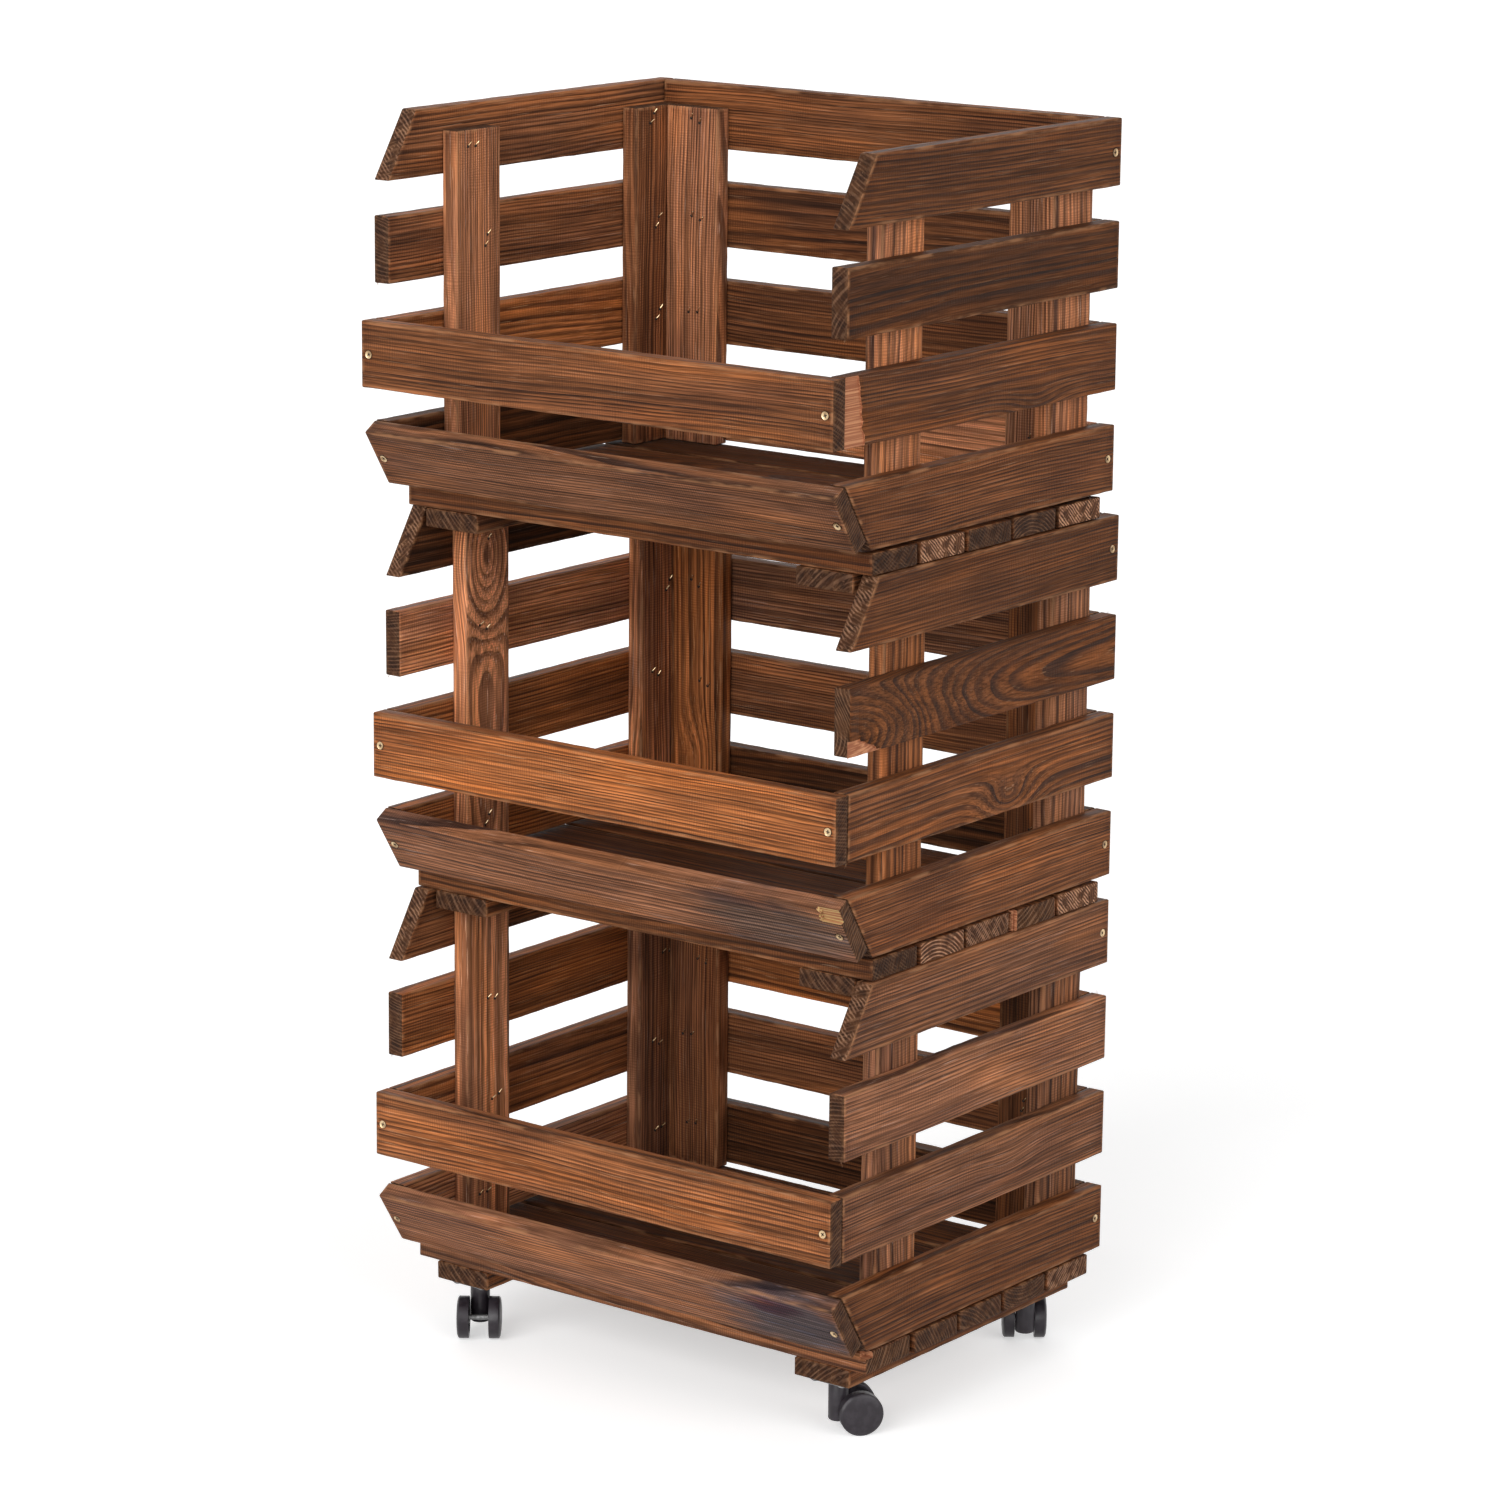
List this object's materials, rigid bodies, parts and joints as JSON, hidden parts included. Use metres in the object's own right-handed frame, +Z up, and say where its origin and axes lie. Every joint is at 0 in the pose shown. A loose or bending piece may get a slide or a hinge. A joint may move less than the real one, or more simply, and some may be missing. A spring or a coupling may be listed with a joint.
{
  "type": "vegetable rack",
  "caption": "Stack of slatted wooden crates with open fronts, each nesting on the one below, rolling on twin-wheel castors.",
  "frame": {"origin": "on the ground, in the middle of the rack's outline seen from above", "axes": "+Z up, -Y towards the open front, +X to the right of someone who looks at the front"},
  "size_m": [0.5, 0.4208, 1.0984],
  "materials": {
    "stained_wood": "brown stain on brushed softwood, matt",
    "black_plastic": "satin moulded plastic",
    "zinc_plated_steel": "bright zinc plating"
  },
  "bodies": {
    "crate_bottom": {"bottom_left_side_panel": "stained_wood", "bottom_right_side_panel": "stained_wood", "bottom_back_panel": "stained_wood", "bottom_front_upper_rail": "stained_wood", "bottom_front_lower_rail": "stained_wood", "bottom_floor_board_1": "stained_wood", "bottom_floor_board_2": "stained_wood", "bottom_floor_board_3": "stained_wood", "bottom_floor_board_4": "stained_wood", "bottom_floor_board_5": "stained_wood", "bottom_floor_batten_left": "stained_wood", "bottom_floor_batten_right": "stained_wood", "castor_front_left_plate": "zinc_plated_steel", "castor_front_right_plate": "zinc_plated_steel", "castor_rear_left_plate": "zinc_plated_steel", "castor_rear_right_plate": "zinc_plated_steel"},
    "crate_middle": {"middle_left_side_panel": "stained_wood", "middle_right_side_panel": "stained_wood", "middle_back_panel": "stained_wood", "middle_front_upper_rail": "stained_wood", "middle_front_lower_rail": "stained_wood", "middle_floor_board_1": "stained_wood", "middle_floor_board_2": "stained_wood", "middle_floor_board_3": "stained_wood", "middle_floor_board_4": "stained_wood", "middle_floor_board_5": "stained_wood", "middle_floor_batten_left": "stained_wood", "middle_floor_batten_right": "stained_wood"},
    "crate_top": {"top_left_side_panel": "stained_wood", "top_right_side_panel": "stained_wood", "top_back_panel": "stained_wood", "top_front_upper_rail": "stained_wood", "top_front_lower_rail": "stained_wood", "top_floor_board_1": "stained_wood", "top_floor_board_2": "stained_wood", "top_floor_board_3": "stained_wood", "top_floor_board_4": "stained_wood", "top_floor_board_5": "stained_wood", "top_floor_batten_left": "stained_wood", "top_floor_batten_right": "stained_wood"},
    "castor_front_left": {"castor_front_left_housing": "black_plastic", "castor_front_left_axle": "zinc_plated_steel"},
    "castor_front_left_wheel_left": {"castor_front_left_wheel_left": "black_plastic"},
    "castor_front_left_wheel_right": {"castor_front_left_wheel_right": "black_plastic"},
    "castor_front_right": {"castor_front_right_housing": "black_plastic", "castor_front_right_axle": "zinc_plated_steel"},
    "castor_front_right_wheel_left": {"castor_front_right_wheel_left": "black_plastic"},
    "castor_front_right_wheel_right": {"castor_front_right_wheel_right": "black_plastic"},
    "castor_rear_left": {"castor_rear_left_housing": "black_plastic", "castor_rear_left_axle": "zinc_plated_steel"},
    "castor_rear_left_wheel_left": {"castor_rear_left_wheel_left": "black_plastic"},
    "castor_rear_left_wheel_right": {"castor_rear_left_wheel_right": "black_plastic"},
    "castor_rear_right": {"castor_rear_right_housing": "black_plastic", "castor_rear_right_axle": "zinc_plated_steel"},
    "castor_rear_right_wheel_left": {"castor_rear_right_wheel_left": "black_plastic"},
    "castor_rear_right_wheel_right": {"castor_rear_right_wheel_right": "black_plastic"}
  },
  "joints": [
    {"name": "middle_crate_lift", "type": "slide", "parent": "crate_bottom", "child": "crate_middle", "axis": [0, 0, 1], "range_m": [0, 0.1]},
    {"name": "top_crate_lift", "type": "slide", "parent": "crate_middle", "child": "crate_top", "axis": [0, 0, 1], "range_m": [0, 0.1]},
    {"name": "front_left_castor_swivel", "type": "hinge", "parent": "crate_bottom", "child": "castor_front_left", "pos_m": [-0.19975, -0.1159, 0.04], "axis": [0, 0, 1], "continuous": true},
    {"name": "front_left_wheel_left_spin", "type": "hinge", "parent": "castor_front_left", "child": "castor_front_left_wheel_left", "pos_m": [-0.18982, -0.12908, 0.019], "axis": [0.7986, 0.6018, 0], "continuous": true},
    {"name": "front_left_wheel_right_spin", "type": "hinge", "parent": "castor_front_left", "child": "castor_front_left_wheel_right", "pos_m": [-0.18982, -0.12908, 0.019], "axis": [0.7986, 0.6018, 0], "continuous": true},
    {"name": "front_right_castor_swivel", "type": "hinge", "parent": "crate_bottom", "child": "castor_front_right", "pos_m": [0.19975, -0.1159, 0.04], "axis": [0, 0, 1], "continuous": true},
    {"name": "front_right_wheel_left_spin", "type": "hinge", "parent": "castor_front_right", "child": "castor_front_right_wheel_left", "pos_m": [0.21036, -0.10326, 0.019], "axis": [-0.766, 0.6428, 0], "continuous": true},
    {"name": "front_right_wheel_right_spin", "type": "hinge", "parent": "castor_front_right", "child": "castor_front_right_wheel_right", "pos_m": [0.21036, -0.10326, 0.019], "axis": [-0.766, 0.6428, 0], "continuous": true},
    {"name": "rear_left_castor_swivel", "type": "hinge", "parent": "crate_bottom", "child": "castor_rear_left", "pos_m": [-0.19975, 0.1664, 0.04], "axis": [0, 0, 1], "continuous": true},
    {"name": "rear_left_wheel_left_spin", "type": "hinge", "parent": "castor_rear_left", "child": "castor_rear_left_wheel_left", "pos_m": [-0.2147, 0.15943, 0.019], "axis": [0.4226, -0.9063, 0], "continuous": true},
    {"name": "rear_left_wheel_right_spin", "type": "hinge", "parent": "castor_rear_left", "child": "castor_rear_left_wheel_right", "pos_m": [-0.2147, 0.15943, 0.019], "axis": [0.4226, -0.9063, 0], "continuous": true},
    {"name": "rear_right_castor_swivel", "type": "hinge", "parent": "crate_bottom", "child": "castor_rear_right", "pos_m": [0.19975, 0.1664, 0.04], "axis": [0, 0, 1], "continuous": true},
    {"name": "rear_right_wheel_left_spin", "type": "hinge", "parent": "castor_rear_right", "child": "castor_rear_right_wheel_left", "pos_m": [0.18982, 0.17958, 0.019], "axis": [-0.7986, -0.6018, 0], "continuous": true},
    {"name": "rear_right_wheel_right_spin", "type": "hinge", "parent": "castor_rear_right", "child": "castor_rear_right_wheel_right", "pos_m": [0.18982, 0.17958, 0.019], "axis": [-0.7986, -0.6018, 0], "continuous": true}
  ]
}
